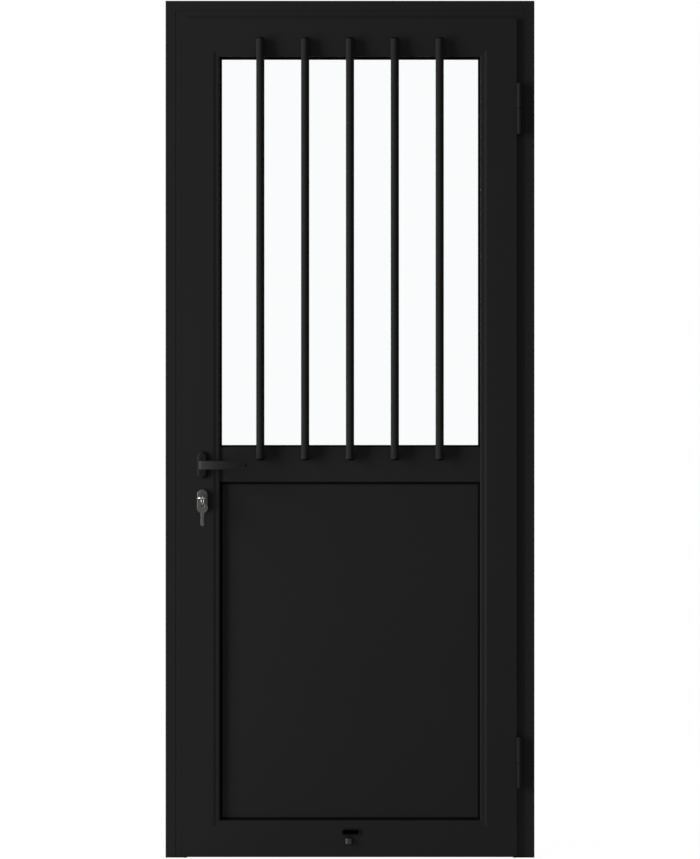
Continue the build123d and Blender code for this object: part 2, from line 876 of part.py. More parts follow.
def key_outline(bow_radius, hole_from_centre, blade):
    """A key lying along its length: pointed blade, shoulder and a round bow with a hole."""
    half = key_blade_height / 2
    stem = outline(
        [
            (0, -half),
            (blade - key_tip_drop, -half),
            (blade, 0),
            (blade - key_tip_drop, half),
            (0, half),
        ]
    )
    middle = -key_shoulder - bow_radius
    neck = Pos(middle / 2, 0) * Rectangle(-middle, key_blade_height)
    bow = Pos(middle, 0) * Circle(bow_radius)
    hole = Pos(middle - hole_from_centre, 0) * Circle(key_hole_radius)
    for number in range(key_bit_count):
        x = key_first_bit + number * key_bit_pitch
        top = half + overrun
        spread = key_bit_depth + overrun
        stem -= outline([(x - spread, top), (x, half - key_bit_depth), (x + spread, top)])
    return stem + neck + bow - hole


def keys():
    """The key turned flat in the plug, a split ring over the rim of its bow and a spare key on the ring."""
    key = extrude(key_outline(key_bow_radius, key_hole_from_centre, key_blade_length), amount=key_thickness)
    lying = Plane(
        (handle_x, cylinder_face, plug_height - key_thickness / 2), x_dir=(0, 1, 0), z_dir=(0, 0, 1)
    )
    hole_y = cylinder_face - key_shoulder - key_bow_radius - key_hole_from_centre
    rim = key_bow_radius - key_hole_from_centre - key_hole_radius
    to_ring = Vector(-key_hole_radius - rim / 2, 0).rotate(Axis.Z, ring_twist_deg)
    ring_x = handle_x + to_ring.X
    ring_y = hole_y + to_ring.Y
    ring_z = plug_height + key_thickness / 2 + ring_seat_gap + ring_wire_radius - ring_radius
    loop = Cylinder(ring_radius + ring_wire_radius, 2 * ring_wire_radius)
    loop -= Cylinder(ring_radius - ring_wire_radius, 2 * ring_wire_radius)
    ring = Pos(ring_x, ring_y, ring_z) * Rot(0, 0, ring_twist_deg) * Rot(90, 0, 0) * loop
    hole_z = ring_z - ring_radius + ring_wire_radius + ring_play - key_hole_radius
    spare_z = hole_z - spare_hole_from_centre - spare_bow_radius - key_shoulder
    spare = extrude(
        key_outline(spare_bow_radius, spare_hole_from_centre, key_blade_length), amount=key_thickness
    )
    hung = Plane((ring_x, ring_y + key_thickness / 2, spare_z), x_dir=(0, 0, -1), z_dir=(0, -1, 0))
    return {"key_in_lock": lying * key, "key_ring": ring, "spare_key": hung * spare}


def floor_slot():
    """Outline of the slot through the floor bolt's rose and the rail's wall behind it."""
    return Pos(floor_rose_x, floor_rose_z) * SlotOverall(floor_slot_width, floor_slot_height)


def floor_bolt():
    """Oval rose with a slot, a half-round turn with a crank behind the rail's wall, and the rod."""
    rose_y = leaf_front - floor_rose_thickness
    oval = Pos(floor_rose_x, floor_rose_z) * SlotOverall(floor_rose_width, floor_rose_height)
    rose = plate(oval, rose_y, leaf_front)
    rose -= plate(floor_slot(), rose_y - overrun, leaf_front + overrun)
    back = leaf_front - turn_play
    front = back - turn_disc
    turn = rod_along_y(turn_x, turn_z, turn_radius, front, back)
    low = turn_z - turn_grip_height / 2
    high = turn_z + turn_grip_height / 2
    grip = rod_along_z(turn_x, front, turn_grip_radius, low, high)
    side = turn_grip_radius + overrun
    grip &= block(turn_x - side, turn_x + side, front - side, front, low - overrun, high + overrun)
    turn += chamfer(grip.edges().filter_by(GeomType.CIRCLE), turn_grip_round)
    crank = leaf_front + leaf_wall + turn_play
    turn += rod_along_y(turn_x, turn_z, turn_spindle_radius, back, crank)
    turn += rod_along_y(turn_x, turn_z, turn_crank_radius, crank, crank + turn_crank_thickness)
    rod = rod_along_z(turn_x, rod_y(), rod_radius, rod_foot, rod_head)
    rod = chamfer(rod.edges().group_by(Axis.Z)[0], rod_point)
    return {"floor_bolt_rose": rose, "floor_bolt_turn": turn, "floor_bolt_rod": rod}


def door():
    """Every piece of the door and its frame, by name."""
    nodes = {}
    nodes.update(frame_members())
    nodes.update(frame_fittings())
    nodes.update(hinges())
    nodes.update(leaf_members())
    nodes.update(leaf_cleats())
    rail_low = leaf_top - top_rail_width
    rail_high = leaf_bottom + stile_width
    nodes.update(
        glazing("glass", transom_high, rail_low, "glass_pane", glass_thickness, glass_gasket_show)
    )
    nodes.update(
        glazing("panel", rail_high, transom_low, "infill_panel", panel_thickness, panel_gasket_show)
    )
    nodes.update(guard_bars())
    nodes["bottom_brush"] = brush_strip()
    nodes.update(lock_set())
    nodes.update(handles())
    nodes.update(cylinder_set())
    nodes.update(keys())
    nodes.update(floor_bolt())
    return nodes


os.makedirs("parts", exist_ok=True)
for name, shape in door().items():
    export_step(shape, f"parts/{name}.step")
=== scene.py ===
# %% [markdown]
# # An aluminium door in its frame
# The object is a black aluminium entrance door, closed in its three-sided frame. The upper
# field is clear glass behind five round bars, the lower field is a flat panel. The solids come
# from the CAD model, already in metres and in their place. This lesson gives them their
# finishes, makes the finer pieces as surfaces, and lights the whole.

# %% Load the frame
import json
import math

import bmesh
import bpy
import numpy as np
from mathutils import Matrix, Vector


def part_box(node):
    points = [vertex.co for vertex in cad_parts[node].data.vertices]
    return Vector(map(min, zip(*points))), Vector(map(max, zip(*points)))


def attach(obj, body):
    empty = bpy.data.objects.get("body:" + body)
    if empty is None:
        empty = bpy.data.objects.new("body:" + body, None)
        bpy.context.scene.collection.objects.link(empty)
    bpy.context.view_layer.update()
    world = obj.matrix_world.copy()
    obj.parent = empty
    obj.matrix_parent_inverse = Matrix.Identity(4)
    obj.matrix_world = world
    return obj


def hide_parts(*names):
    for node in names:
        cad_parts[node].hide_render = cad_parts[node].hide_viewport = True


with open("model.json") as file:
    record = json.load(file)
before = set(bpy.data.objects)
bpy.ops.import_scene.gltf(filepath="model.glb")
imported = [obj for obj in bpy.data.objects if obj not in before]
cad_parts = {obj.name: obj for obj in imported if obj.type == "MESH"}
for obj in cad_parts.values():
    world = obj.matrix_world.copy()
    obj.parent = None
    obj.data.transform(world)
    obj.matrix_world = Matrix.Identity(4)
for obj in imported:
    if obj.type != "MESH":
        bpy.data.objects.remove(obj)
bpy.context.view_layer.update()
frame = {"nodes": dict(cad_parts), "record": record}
slot_of = {part["node"]: part["material_slot"] for part in frame["record"]["subparts"]}
scene = bpy.context.scene

# %% [markdown]
# ## Camera
# The photograph is taken straight on, at half the door's height and from about five metres, so
# upright lines stay upright. The picture's height covers a known length in the plane of the
# frame's front, and the lens follows from that length and the distance. A longer lens from
# further away would show less of the hinges' sides than the photograph does.

# %% Place the camera
photo_height_m = 2.095
camera_distance = 5.0
camera_height = 1.0441
sensor = 36.0
frame_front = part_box("frame_head")[0][1]

eye = bpy.data.cameras.new("camera")
eye.sensor_width = sensor
eye.lens = sensor * camera_distance / photo_height_m
camera = bpy.data.objects.new("camera", eye)
camera.location = (0.0, frame_front - camera_distance, camera_height)
camera.rotation_euler = (math.pi / 2, 0.0, 0.0)
scene.collection.objects.link(camera)
scene.camera = camera
print("lens", round(eye.lens, 1))

# %% [markdown]
# ## Shader maths
# A finish is worked out as sums and products of textures. The class below wraps one output
# socket, so that `1 - mask` or `0.4 + 0.1 * grain` adds the Math nodes by itself, and one method
# adds any other node. Numbers that stay the same all over are worked out in Python instead.


# %% A socket that can be added and multiplied
class Wire:
    """An output socket of a node tree, with the sums that its values can take part in."""

    def __init__(self, socket):
        self.socket = socket

    def node(self, kind, settings=None, inputs=None, out=0):
        """Adds a node of this kind: its settings first, then its sockets. Gives one output."""
        made = self.socket.id_data.nodes.new(kind)
        for name, value in (settings or {}).items():
            setattr(made, name, value)
        for name, value in (inputs or {}).items():
            if isinstance(value, Wire):
                self.socket.id_data.links.new(value.socket, made.inputs[name])
            else:
                made.inputs[name].default_value = value
        return Wire(made.outputs[out])

    def sum(self, operation, first, second):
        """One Math node on two values, each a wire or a number."""
        return self.node("ShaderNodeMath", {"operation": operation}, {0: first, 1: second})

    def __add__(self, other):
        return self.sum("ADD", self, other)

    def __sub__(self, other):
        return self.sum("SUBTRACT", self, other)

    def __rsub__(self, other):
        return self.sum("SUBTRACT", other, self)

    def __mul__(self, other):
        return self.sum("MULTIPLY", self, other)

    __radd__ = __add__
    __rmul__ = __mul__

    def noise(self, scale, detail=2.0, stretch=None):
        """Soft noise from 0 to 1, `scale` lumps to the metre, longer where stretch is under 1."""
        place = self
        if stretch:
            multiply = {"operation": "MULTIPLY"}
            place = self.node("ShaderNodeVectorMath", multiply, {0: self, 1: stretch})
        sockets = {"Vector": place, "Scale": scale, "Detail": detail}
        return self.node("ShaderNodeTexNoise", None, sockets)

    def between(self, dark, light):
        """A colour that goes from dark to light as this value goes from 0 to 1."""
        settings = {"data_type": "RGBA", "clamp_factor": True}
        sockets = {0: self, 6: (*dark, 1.0), 7: (*light, 1.0)}
        return self.node("ShaderNodeMix", settings, sockets, out=2)

    def bump(self, depth):
        """A normal tilted by this value taken as a height of up to `depth` metres."""
        return self.node("ShaderNodeBump", None, {"Height": self, "Distance": depth})


# %% A material and its links
def finish(name, **constants):
    """A new material: gives the material, its main shader and a wire of Object coordinates."""
    material = bpy.data.materials.new(name)
    material.use_nodes = True
    nodes = material.node_tree.nodes
    shader = nodes["Principled BSDF"]
    for socket, value in constants.items():
        shader.inputs[socket.replace("_", " ")].default_value = value
    place = Wire(nodes.new("ShaderNodeTexCoord").outputs["Object"])
    return material, shader, place


def feed(shader, socket, wire):
    """Links a wire to one of the shader's sockets."""
    shader.id_data.links.new(wire.socket, shader.inputs[socket])


# %% [markdown]
# ## Black powder coat
# The profiles, bars and hinges are sprayed with a satin black powder and baked. The powder flows
# into a skin with an orange peel about a millimetre across, too fine to see at arm's length, that
# still breaks up reflections. Broad clouds in the tone keep a large flat panel from looking
# printed. Bump does this better than real geometry, which would need millions of faces. The
# profiles have the peel and a satin shine, the levers a smoother coat, and the bars, hinges and
# roses a duller one, because the photograph shows no sharp streak of light along them. The bars'
# coat is also a shade lighter: painted light, standing in for the light that reaches their sides
# from behind through the glass.

# %% Powder coat
cloud_scale = 3.5
cloud_spread = 0.07
grain_scale = 2600.0
grain_share = 0.4
peel_scale = 850.0
gloss_spread = 0.04


def powder_coat(name, tone, gloss, peel, shine):
    """Tone and roughness each plus or minus a spread; height = peel noise + a share of grain."""
    material, shader, place = finish(name, Specular_IOR_Level=shine)
    clouds = place.noise(cloud_scale)
    grain = place.noise(grain_scale)
    darker = [(1.0 - cloud_spread) * t for t in tone]
    lighter = [(1.0 + cloud_spread) * t for t in tone]
    feed(shader, "Base Color", clouds.between(darker, lighter))
    feed(shader, "Roughness", gloss - gloss_spread + 2.0 * gloss_spread * grain)
    feed(shader, "Normal", (place.noise(peel_scale) + grain_share * grain).bump(peel))
    return material


coat_tone = (0.0152, 0.0142, 0.0142)
lever_tone = (0.0155, 0.0145, 0.0143)
# Painted light: the bars carry the same black powder, drawn a shade lighter for the light that
# wraps their sides from behind the glass.
bar_tone_painted_light = (0.0209, 0.0212, 0.0205)
coat = powder_coat("black_coat", coat_tone, gloss=0.46, peel=0.00003, shine=0.22)
lever_coat = powder_coat("lever_coat", lever_tone, gloss=0.52, peel=0.000006, shine=0.22)
tube_coat = powder_coat("tube_coat", coat_tone, gloss=0.68, peel=0.000006, shine=0.08)
bar_coat_painted_light = powder_coat("bar_coat_painted_light", bar_tone_painted_light, gloss=0.78, peel=0.000006, shine=0.05)
print("coats", coat.name, lever_coat.name, tube_coat.name, bar_coat_painted_light.name)

# %% [markdown]
# ## Rubber, brush and plastic
# Gaskets and seals are extruded rubber, dull and darker than the coat, with a faint dusty bloom.
# The brush is nylon bristle, and the bars' caps and the hinges' pins are dark plastic, its tone set
# near black partly as painted shade for the shaded lower ends of the bars. All swallow light, so
# their roughness is high and the colour is close to black; grain in the normal keeps them from
# turning into flat paint.

# %% Rubber, bristle and plastic
fine_detail = 3.0
dull_shine = 0.08
dull_low = 0.66
dull_spread = 0.2
bloom_scale = 60.0
bloom_low = 0.6
bloom_high = 1.5


def soft_black(name, tone, grain, stretch, depth):
    """Tone from 0.6 to 1.5 times by half grain, half bloom; roughness and height from the grain."""
    material, shader, place = finish(name, Specular_IOR_Level=dull_shine)
    speck = place.noise(grain, fine_detail, stretch)
    bloom = place.noise(bloom_scale)
    dusty = 0.5 * speck + 0.5 * bloom
    feed(shader, "Base Color", dusty.between([bloom_low * tone] * 3, [bloom_high * tone] * 3))
    feed(shader, "Roughness", dull_low + dull_spread * speck)
    feed(shader, "Normal", speck.bump(depth))
    return material


combed = (1.0, 1.0, 0.05)
rubber = soft_black("black_rubber", tone=0.0022, grain=1800.0, stretch=None, depth=0.00003)
bristle = soft_black("black_bristle", tone=0.008, grain=1500.0, stretch=combed, depth=0.00005)
# Painted shade: the plastic's tone sits near black, darker than the coat, partly for the shade
# under the bars' lower ends.
plastic = soft_black("black_plastic", tone=0.0025, grain=1400.0, stretch=None, depth=0.00002)
print("dull blacks", rubber.name, bristle.name, plastic.name)

# %% [markdown]
# ## Metals
# The escutcheons and the spare key are satin nickel, brushed along their length. The key is drawn
# a little lighter, a painted reflection standing in for the brighter shine off its rounded blade.
# The key in the lock and the ring are chrome with hair scratches, and the floor bolt's turn is
# darkened nickel. Screws, spindle and bolts are zinc plated, with a soft mottle, and the cleats
# inside the corners are bare aluminium as it leaves the press, streaked along the profile.
# One function draws them all: streaks, mottle and scratches are the same noise stretched by
# different amounts.

# %% Metals
mottle_scale = 140.0
mottle_low = 0.88
mottle_high = 1.06


def bare_metal(name, tone, grain, stretch, gloss, spread, depth):
    """Tone times 0.88 to 1.06 by mottle; roughness +/- a spread, and height, by stretched lines."""
    material, shader, place = finish(name, Metallic=1.0)
    lines = place.noise(grain, fine_detail, stretch)
    mottle = place.noise(mottle_scale)
    darker = [mottle_low * t for t in tone]
    lighter = [mottle_high * t for t in tone]
    feed(shader, "Base Color", mottle.between(darker, lighter))
    feed(shader, "Roughness", gloss - spread + 2.0 * spread * lines)
    feed(shader, "Normal", lines.bump(depth))
    return material


brushed = (1.0, 1.0, 0.06)
scratched = (1.0, 1.0, 0.15)
drawn = (1.0, 1.0, 0.03)
nickel_tone = (0.17, 0.166, 0.158)
# Painted reflection: the spare key's nickel is drawn lighter for the shine off its rounded blade.
spare_tone_painted_reflection = (0.225, 0.22, 0.21)
dark_tone = (0.09, 0.09, 0.09)
chrome_tone = (0.8, 0.81, 0.82)
zinc_tone = (0.5, 0.5, 0.49)
mill_tone = (0.62, 0.63, 0.64)
brush_grain = 2600.0
scratch_grain = 3200.0
plating_grain = 900.0
press_grain = 1800.0

# %% Six metals
nickel = bare_metal(
    "satin_nickel", nickel_tone, brush_grain, brushed, gloss=0.48, spread=0.06, depth=0.000003
)
spare_nickel_painted_reflection = bare_metal(
    "spare_nickel_painted_reflection", spare_tone_painted_reflection, brush_grain, brushed, gloss=0.44, spread=0.06, depth=0.000003
)
dark_nickel = bare_metal(
    "dark_nickel", dark_tone, brush_grain, brushed, gloss=0.32, spread=0.03, depth=0.000001
)
chrome = bare_metal(
    "bright_chrome", chrome_tone, scratch_grain, scratched, gloss=0.36, spread=0.05, depth=0.000003
)
zinc = bare_metal(
    "zinc_steel", zinc_tone, plating_grain, None, gloss=0.4, spread=0.1, depth=0.000008
)
mill = bare_metal(
    "mill_aluminium", mill_tone, press_grain, drawn, gloss=0.36, spread=0.08, depth=0.00001
)
print("metals", [metal.name for metal in (nickel, spare_nickel_painted_reflection, dark_nickel, chrome, zinc, mill)])

# %% [markdown]
# ## Glass
# The pane is clear glass, so nearly everything behind it comes through, a little darker and a
# trace cooler. A film of dust and wiping marks, drawn out upwards, shows only as a hint of
# roughness.

# %% Clear glass
film_scale = 9.0
film_detail = 4.0
film_stretch = (1.0, 1.0, 0.35)
film_rough = 0.012
pane_dusty = (0.93, 0.95, 0.955)
pane_clean = (0.95, 0.965, 0.97)
glass, pane_shader, pane_place = finish("clear_glass", Transmission_Weight=1.0, IOR=1.45)
wiped = pane_place.noise(film_scale, film_detail, film_stretch)
feed(pane_shader, "Base Color", wiped.between(pane_dusty, pane_clean))
feed(pane_shader, "Roughness", film_rough * wiped)
print("glass", glass.name)

# %% [markdown]
# ## Dress the CAD nodes
# Each solid keeps its CAD mesh. Pressed and extruded metal has no knife edges, so a Weld joins the
# loose triangles, a Decimate joins those that lie flat, and a Bevel rounds the corners by a few
# tenths of a millimetre; that thin band is what catches the light along a profile. A profile has
# shallow folds that need it too, so there the Bevel starts at a smaller angle than on turned
# pieces, whose facets have to stay round. Weighted normals keep the large faces flat.

# %% Soft edges
weld_gap = 0.00001
flat_angle = math.radians(0.6)
bevel_steps = 2
area_weight = 60


def soften(piece, width, sharp_angle):
    """Joins the node's triangles into flat faces, rounds its edges and shades by face area."""
    weld = piece.modifiers.new("join", "WELD")
    weld.merge_threshold = weld_gap
    flats = piece.modifiers.new("flats", "DECIMATE")
    flats.decimate_type = "DISSOLVE"
    flats.angle_limit = flat_angle
    bevel = piece.modifiers.new("edges", "BEVEL")
    bevel.width = width
    bevel.segments = bevel_steps
    bevel.limit_method = "ANGLE"
    bevel.angle_limit = sharp_angle
    shade = piece.modifiers.new("shade", "WEIGHTED_NORMAL")
    shade.weight = area_weight


# %% Finishes by slot and by node
finish_of_slot = {
    "black_coat": coat,
    "black_rubber": rubber,
    "black_brush": bristle,
    "clear_glass": glass,
    "mill_aluminium": mill,
    "satin_nickel": nickel,
    "bright_chrome": chrome,
    "zinc_steel": zinc,
    "black_plastic": plastic,
}
finish_of_node = {
    "lever_outside": lever_coat,
    "lever_inside": lever_coat,
    "floor_bolt_turn": dark_nickel,
    "spare_key": spare_nickel_painted_reflection,
    "floor_bolt_rose": tube_coat,
    "floor_bolt_rod": tube_coat,
    "hinge_pins": plastic,
    "bar_end_caps": plastic,
    "key_in_lock": chrome,
}
dull_nodes = ("guard_bar", "bar_", "hinge_leaf", "hinge_frame")
frame_nodes = ("frame_jamb", "frame_head")
leaf_nodes = ("leaf_stile", "leaf_top", "leaf_bottom", "leaf_transom")
field_nodes = ("glass_beads", "panel_beads", "infill_panel", "floor_bolt_rose")
profile_nodes = frame_nodes + leaf_nodes + field_nodes

# %% Dress every node
edge_round = 0.0004
frame_round = 0.00012
lever_round = 0.0014
knob_round = 0.0008
round_of_node = {
    "lever_outside": lever_round,
    "lever_inside": lever_round,
    "floor_bolt_turn": knob_round,
}
profile_angle = math.radians(12.0)
round_angle = math.radians(35.0)
for node, piece in frame["nodes"].items():
    piece.data.materials.clear()
    usual = finish_of_slot[slot_of[node]]
    if usual is coat and node.startswith(dull_nodes):
        # The bars take the coat drawn lighter as painted light from behind the glass.
        usual = bar_coat_painted_light if node.startswith("guard_bar") else tube_coat
    piece.data.materials.append(finish_of_node.get(node, usual))
    sharp = profile_angle if node.startswith(profile_nodes) else round_angle
    usual_round = frame_round if node.startswith(frame_nodes) else edge_round
    soften(piece, round_of_node.get(node, usual_round), sharp)
print("dressed", len(frame["nodes"]))

# %% [markdown]
# ## Surfaces from grids
# The finer pieces are grids of points worked out as whole arrays: rows run along a path or in from
# an edge, columns run round. Numbering the corners of the faces is the same sum for all of them,
# so one function does it, and another hangs the finished piece on its body.


# %% Numbering the faces of a grid
def quads(rows, columns, wrap_rows):
    """Corners of each face: one row and one column on, counted round where a side wraps."""
    last = rows if wrap_rows else rows - 1
    row, column = np.meshgrid(np.arange(last), np.arange(columns), indexing="ij")
    next_row = (row + 1) % rows
    next_column = (column + 1) % columns
    corners = [(row, column), (next_row, column), (next_row, next_column), (row, next_column)]
    return np.stack([r * columns + c for r, c in corners], axis=-1).reshape(-1, 4)


def end_faces(rows, columns):
    """The first and the last row of a grid, each as one face that closes that end."""
    row = np.arange(columns)
    return np.stack([row, row + (rows - 1) * columns])


# %% From points to a piece
def make_piece(name, points, faces, material, sharp_degrees):
    """A mesh of these points and faces, its normals turned outwards and its sharp edges marked."""
    mesh = bpy.data.meshes.new(name)
    mesh.from_pydata(points.reshape(-1, 3).tolist(), [], faces)
    shell = bmesh.new()
    shell.from_mesh(mesh)
    bmesh.ops.recalc_face_normals(shell, faces=shell.faces)
    shell.to_mesh(mesh)
    shell.free()
    mesh.polygons.foreach_set("use_smooth", np.ones(len(mesh.polygons), dtype=bool))
    mesh.set_sharp_from_angle(angle=math.radians(sharp_degrees))
    mesh.materials.append(material)
    piece = bpy.data.objects.new(name, mesh)
    scene.collection.objects.link(piece)
    print(name, len(mesh.vertices), "points", len(mesh.polygons), "faces")
    return piece


def stand_for(piece, node, body):
    """Lets a piece ride on a body in place of a CAD node, hiding that node."""
    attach(piece, body)
    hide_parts(node)


def corners_of(node):
    """The low and the high corner of a CAD node's box, as arrays."""
    low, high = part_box(node)
    return np.array(low), np.array(high)


# %% [markdown]
# ## Roses and escutcheons
# The covers round the lever's neck and the lock's cylinder are pressed as soft pillows, steep at
# the rim and flat in the middle. A lathe can't turn an oval, so the oval is written in polar form
# round the hole: each ring of the grid is the same oval drawn in a little further, at the height
# that a quarter of an ellipse gives for that distance from the rim.

# %% Pillow plates
steps_round = 288
rim_rings = 14
least_cosine = 1e-9
least_half = 1e-4
plate_fold = 50.0
turn_about = np.linspace(0.0, 2.0 * np.pi, steps_round, endpoint=False)


def oval_radius(half_width, low, high):
    """Distance to an upright oval: straight sides from low to high, and half circles past them."""
    across = half_width / np.maximum(np.abs(np.cos(turn_about)), least_cosine)
    rise = across * np.sin(turn_about)

    def cap(centre):
        """Distance to a circle round a point that far up: its offset plus the chord left over."""
        chord = np.maximum(half_width**2 - (centre * np.cos(turn_about)) ** 2, 0.0)
        return centre * np.sin(turn_about) + np.sqrt(chord)

    return np.where(rise > high, cap(high), np.where(rise < low, cap(low), across))


def pillow_plate(name, node, centre, opening, edge, material):
    """Ovals drawn in from rim to hole; height = thickness * sqrt(1 - (1 - inset / edge)^2)."""
    low, high = corners_of(node)
    half = (high[0] - low[0]) / 2
    top = high[2] - half - centre[1]
    bottom = low[2] + half - centre[1]
    front, back = (low[1], high[1]) if low[1] < 0 else (high[1], low[1])
    inset = edge * (1.0 - np.cos(np.linspace(0.0, np.pi / 2, rim_rings)))
    halves = [half - min(step, half - least_half) for step in inset]
    rings = [np.maximum(oval_radius(each, bottom, top), opening) for each in halves]
    radius = np.stack([opening, *rings, opening])
    rise = np.sqrt(1.0 - (1.0 - np.minimum(inset / edge, 1.0)) ** 2)
    depth = np.concatenate([[0.0], rise, [1.0]])[:, None] * np.ones_like(turn_about)
    across = centre[0] + radius * np.cos(turn_about)
    upwards = centre[1] + radius * np.sin(turn_about)
    points = np.stack([across, back + (front - back) * depth, upwards], axis=-1)
    faces = quads(len(radius), steps_round, True).tolist()
    piece = make_piece(name, points, faces, material, plate_fold)
    stand_for(piece, node, "leaf")


# %% Two roses and two escutcheons
spindle_low, spindle_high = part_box("lever_spindle")
plug_low, plug_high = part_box("cylinder_plug")
handle_place = ((spindle_low[0] + spindle_high[0]) / 2, (spindle_low[2] + spindle_high[2]) / 2)
plug_place = ((plug_low[0] + plug_high[0]) / 2, (plug_low[2] + plug_high[2]) / 2)
neck_radius = 0.0073
barrel_radius = 0.0088
tail_half = 0.0053
tail_low = -0.0195
rose_edge = 0.007
escutcheon_edge = 0.0014
neck_hole = np.full_like(turn_about, neck_radius)
lock_hole = np.maximum(oval_radius(tail_half, tail_low, 0.0), barrel_radius)
covers = {
    "rose": (handle_place, neck_hole, rose_edge, tube_coat),
    "escutcheon": (plug_place, lock_hole, escutcheon_edge, nickel),
}
for side in ("outside", "inside"):
    for cover, shape in covers.items():
        pillow_plate(f"{cover}_pillow_{side}", f"{cover}_{side}", *shape)

# %% [markdown]
# ## Split ring
# The keys hang on a ring wound from flat wire, two turns lying side by side. Its path is a circle
# whose turns step over by the wire's thickness, and a small rounded section is carried along it.

# %% Path of the ring
ring_low, ring_high = corners_of("key_ring")
ring_centre = (ring_low + ring_high) / 2
ring_outer = (ring_high[2] - ring_low[2]) / 2
wire = 0.0024
lean = math.radians(115.0)
path_steps = 161
step_start = 1.6 * np.pi
step_length = 0.8 * np.pi
sideways = np.array([math.cos(lean), math.sin(lean), 0.0])
axis = np.array([-math.sin(lean), math.cos(lean), 0.0])
upwards = np.array([0.0, 0.0, 1.0])
turn = np.linspace(0.0, 4.0 * np.pi, path_steps)
step_over = np.clip((turn - step_start) / step_length, 0.0, 1.0)
shift = wire / 4 * (1.0 - 2.0 * step_over**2 * (3.0 - 2.0 * step_over))
outward = np.cos(turn)[:, None] * sideways + np.sin(turn)[:, None] * upwards
print("ring", round(2000 * ring_outer, 1), "mm across")

# %% Wind the ring
wire_steps = 12
wire_corner = 0.5
wire_width = 0.96
wire_thickness = 0.94
ring_fold = 60.0
around = np.linspace(0.0, 2.0 * np.pi, wire_steps, endpoint=False)
squared = np.sign(np.cos(around)) * np.abs(np.cos(around)) ** wire_corner
level = np.sign(np.sin(around)) * np.abs(np.sin(around)) ** wire_corner
ring_radius = ring_outer - wire / 2 + wire_width * wire / 2 * squared
ring_reach = shift[:, None] + wire_thickness * wire / 4 * level
points = (
    ring_centre + outward[:, None, :] * ring_radius[:, None] + ring_reach[:, :, None] * axis
)
faces = quads(path_steps, wire_steps, False).tolist()
faces += end_faces(path_steps, wire_steps).tolist()
ring = make_piece("split_ring", points, faces, chrome, ring_fold)
stand_for(ring, "key_ring", "key")

# %% [markdown]
# ## Gaskets
# Glass and panel lie in rubber gaskets that show as a black line inside the profile. The real one
# is an extrusion with a round nose, cut at forty-five degrees in the corners. Each point of its
# section gives a rectangle drawn in by the point's distance from the rebate, so the whole ring is
# four corners times the section.

# %% Mitred rings
corner_x = np.array([-1.0, 1.0, 1.0, -1.0])[:, None]
corner_z = np.array([-1.0, -1.0, 1.0, 1.0])[:, None]


def mitred_ring(section, middle, half, front):
    """Each section point (inset, depth) draws a rectangle: half sizes less inset, front + depth."""
    inset, depth = section.T
    across = middle[0] + corner_x * (half[0] - inset)
    inwards = front + depth + 0.0 * corner_x
    upwards = middle[2] + corner_z * (half[2] - inset)
    faces = quads(len(corner_x), len(section), True).tolist()
    return np.stack([across, inwards, upwards], axis=-1), faces


# %% Gasket rings
nose_steps = 9
gasket_fold = 40.0
gasket_cover = 0.008
glass_show = 0.0048
panel_show = 0.006
groove_shape = np.array([[0.45, 1.0], [0.38, 0.7], [0.31, 1.0], [0.0, 1.0]])


def gasket_ring(node, nose_towards_front, width):
    """Section: a foot, a half-round nose at the full width and a groove in the far face."""
    low, high = corners_of(node)
    depth = high[1] - low[1]
    sweep = np.linspace(-np.pi / 2, np.pi / 2, nose_steps)
    nose = depth / 2 * np.stack([np.cos(sweep) - 1.0, np.sin(sweep) + 1.0], axis=-1)
    nose[:, 0] += width
    groove = groove_shape * [width, depth]
    foot = np.zeros((1, 2))
    section = np.concatenate([foot, nose, groove])
    if nose_towards_front:
        section[:, 1] = depth - section[:, 1]
    points, faces = mitred_ring(section, (low + high) / 2, (high - low) / 2, low[1])
    piece = make_piece(f"{node}_lip", points, faces, rubber, gasket_fold)
    stand_for(piece, node, "leaf")


for field, show in (("glass", glass_show), ("panel", panel_show)):
    gasket_ring(f"{field}_gasket_outer", True, gasket_cover + show)
    gasket_ring(f"{field}_gasket_inner", False, gasket_cover + show)

# %% [markdown]
# ## Glazing lip
# Inside the flat face of the stiles and rails the photograph shows a short slope and then a flat
# lip, which ends in a wall above the gasket. The solids have one longer bevel there, so a strip
# with the finer section lies on that bevel. It is cut at forty-five degrees in the corners like the
# gaskets, and made in the same way: each point of the section draws a rectangle.

# %% Lip round the leaf's opening
bevel_run = 0.0155
bevel_drop = 0.006
slope_end = 0.0065
lip_depth = 0.0016
edge_start = 0.0125
edge_depth = 0.0025
lip_end = 0.0154
sunk = 0.0004
lip_fold = 5.0
lip_section = np.array(
    [
        [0.0, 0.0],
        [slope_end, lip_depth],
        [edge_start, lip_depth],
        [lip_end, edge_depth],
        [lip_end, lip_end * bevel_drop / bevel_run + sunk],
        [0.0, sunk],
    ]
)
opening_low = np.array(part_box("panel_gasket_outer")[0])
opening_high = np.array(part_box("glass_gasket_outer")[1])
leaf_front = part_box("leaf_top_rail")[0][1]
opening_middle = (opening_low + opening_high) / 2
opening_half = (opening_high - opening_low) / 2 + bevel_run - gasket_cover
points, faces = mitred_ring(lip_section, opening_middle, opening_half, leaf_front)
glazing_lip = make_piece("glazing_lip", points, faces, coat, lip_fold)
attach(glazing_lip, "leaf")

# %% [markdown]
# ## Caps on the bars
# The bars' ends are closed with plastic caps, pressed in and slightly domed, which show as dark
# tips above and below: black plastic, whose near-black tone is also painted shade for the shaded
# underside of the lower ends. The solids have the plug and its flat flange. The dome is turned like
# a bowl: a quarter of an ellipse carried round each bar's axis, cut off flat before the middle, so
# that no face runs out to a point.

